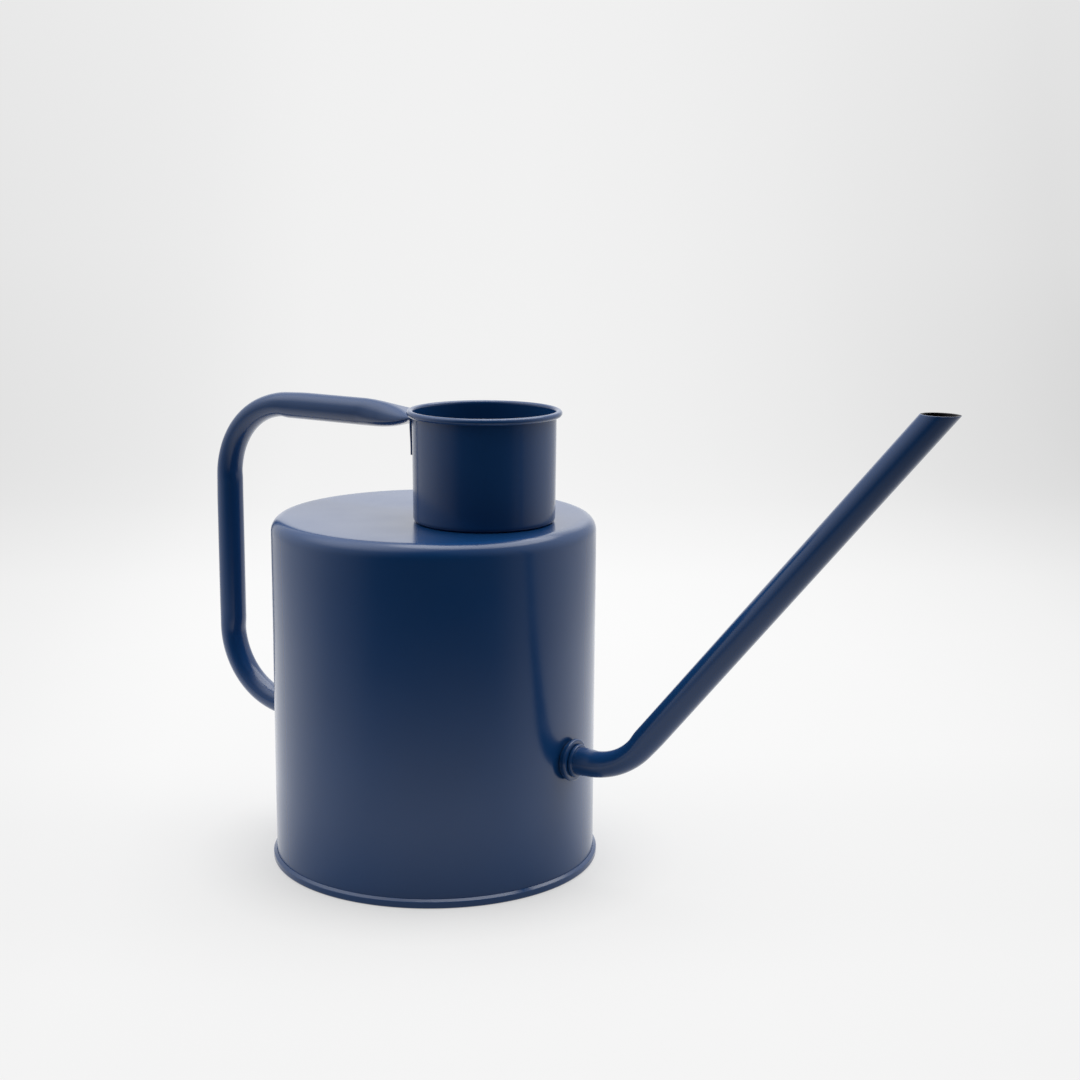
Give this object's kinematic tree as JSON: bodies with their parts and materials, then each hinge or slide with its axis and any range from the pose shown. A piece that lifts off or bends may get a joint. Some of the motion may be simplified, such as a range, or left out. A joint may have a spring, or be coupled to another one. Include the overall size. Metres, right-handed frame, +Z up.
{
  "type": "watering can",
  "caption": "Round sheet-metal watering can with an offset filler neck, a bent tube handle and a long straight rising spout cut level at its end.",
  "frame": {"origin": "on the floor, at the middle of the base seam's flat ring, on the tank's axis", "axes": "+Z up along the tank's axis, +X from the tank's axis towards the spout, the handle at -X"},
  "size_m": [0.358, 0.143, 0.2124],
  "materials": {
    "powder_coat": "satin navy blue powder coat on drawn steel sheet",
    "powder_coat_tube": "satin navy blue powder coat on bent steel tube",
    "coated_weld": "weld bead under the same powder coat",
    "weld_steel": "spot weld slug, bare, closed in between two sheets",
    "rim_wire_steel": "drawn steel wire, closed in by the rolled rim",
    "sealing_compound": "cured sealing compound"
  },
  "bodies": {
    "root": {"tank_shell": "powder_coat", "base_plate": "powder_coat", "filler_neck": "powder_coat", "handle_tube": "powder_coat_tube", "spout_tube": "powder_coat_tube", "spout_washer": "powder_coat_tube", "spout_backing_washer": "powder_coat_tube", "handle_foot_weld": "coated_weld", "neck_weld": "coated_weld", "handle_tab_welds": "weld_steel", "rim_wire": "rim_wire_steel", "base_seam_compound": "sealing_compound", "spout_seal": "sealing_compound"}
  },
  "joints": []
}
